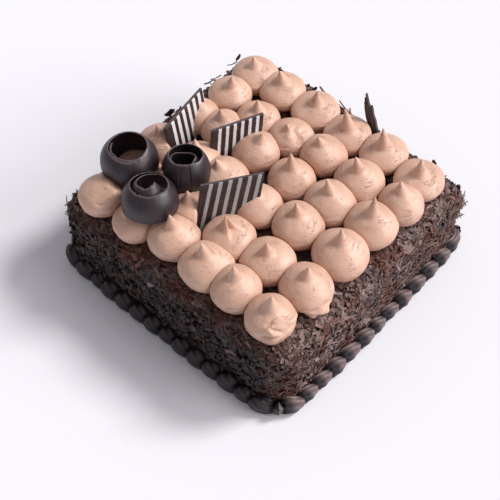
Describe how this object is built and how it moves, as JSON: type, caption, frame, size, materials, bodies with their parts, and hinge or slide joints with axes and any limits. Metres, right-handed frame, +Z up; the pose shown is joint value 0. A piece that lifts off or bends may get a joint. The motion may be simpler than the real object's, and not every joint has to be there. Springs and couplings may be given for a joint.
{
  "type": "chocolate cake",
  "caption": "Square chocolate cake coated in shavings, with a piped border round its foot, piped cream kisses on top, and rolled curls and striped chocolate plates at one corner.",
  "frame": {"origin": "centre of the cake's base, on the surface it stands on", "axes": "+Z up; the front side faces -Y; +X runs from the corner with the curls towards the corner nearest the camera"},
  "size_m": [0.2174, 0.2192, 0.1032],
  "materials": {
    "shavings": "coarse dark chocolate shavings, uneven, satin flakes",
    "border": "dark chocolate cream, piped, softly glossy",
    "cream": "whipped milk chocolate cream, satin with fine pits and rings",
    "curl": "dark chocolate, smooth, softly glossy, with paler cut edges",
    "plate": "dark chocolate with pale slanted stripes on its face"
  },
  "bodies": {
    "root": {"cake_block": "shavings", "border_front": "border", "border_right": "border", "border_back": "border", "border_left": "border", "kiss_1_1": "cream", "kiss_2_1": "cream", "kiss_3_1": "cream", "kiss_4_1": "cream", "kiss_5_1": "cream", "kiss_6_1": "cream", "kiss_1_2": "cream", "kiss_2_2": "cream", "kiss_3_2": "cream", "kiss_4_2": "cream", "kiss_5_2": "cream", "kiss_6_2": "cream", "kiss_1_3": "cream", "kiss_2_3": "cream", "kiss_3_3": "cream", "kiss_4_3": "cream", "kiss_5_3": "cream", "kiss_6_3": "cream", "kiss_1_4": "cream", "kiss_2_4": "cream", "kiss_3_4": "cream", "kiss_4_4": "cream", "kiss_5_4": "cream", "kiss_6_4": "cream", "kiss_1_5": "cream", "kiss_2_5": "cream", "kiss_3_5": "cream", "kiss_4_5": "cream", "kiss_5_5": "cream", "kiss_6_5": "cream", "kiss_1_6": "cream", "kiss_2_6": "cream", "kiss_3_6": "cream", "kiss_4_6": "cream", "kiss_5_6": "cream", "kiss_6_6": "cream", "curl_left": "curl", "curl_right": "curl", "curl_front": "curl", "plate_left": "plate", "plate_middle": "plate", "plate_front": "plate", "shard_back": "curl"}
  },
  "joints": []
}
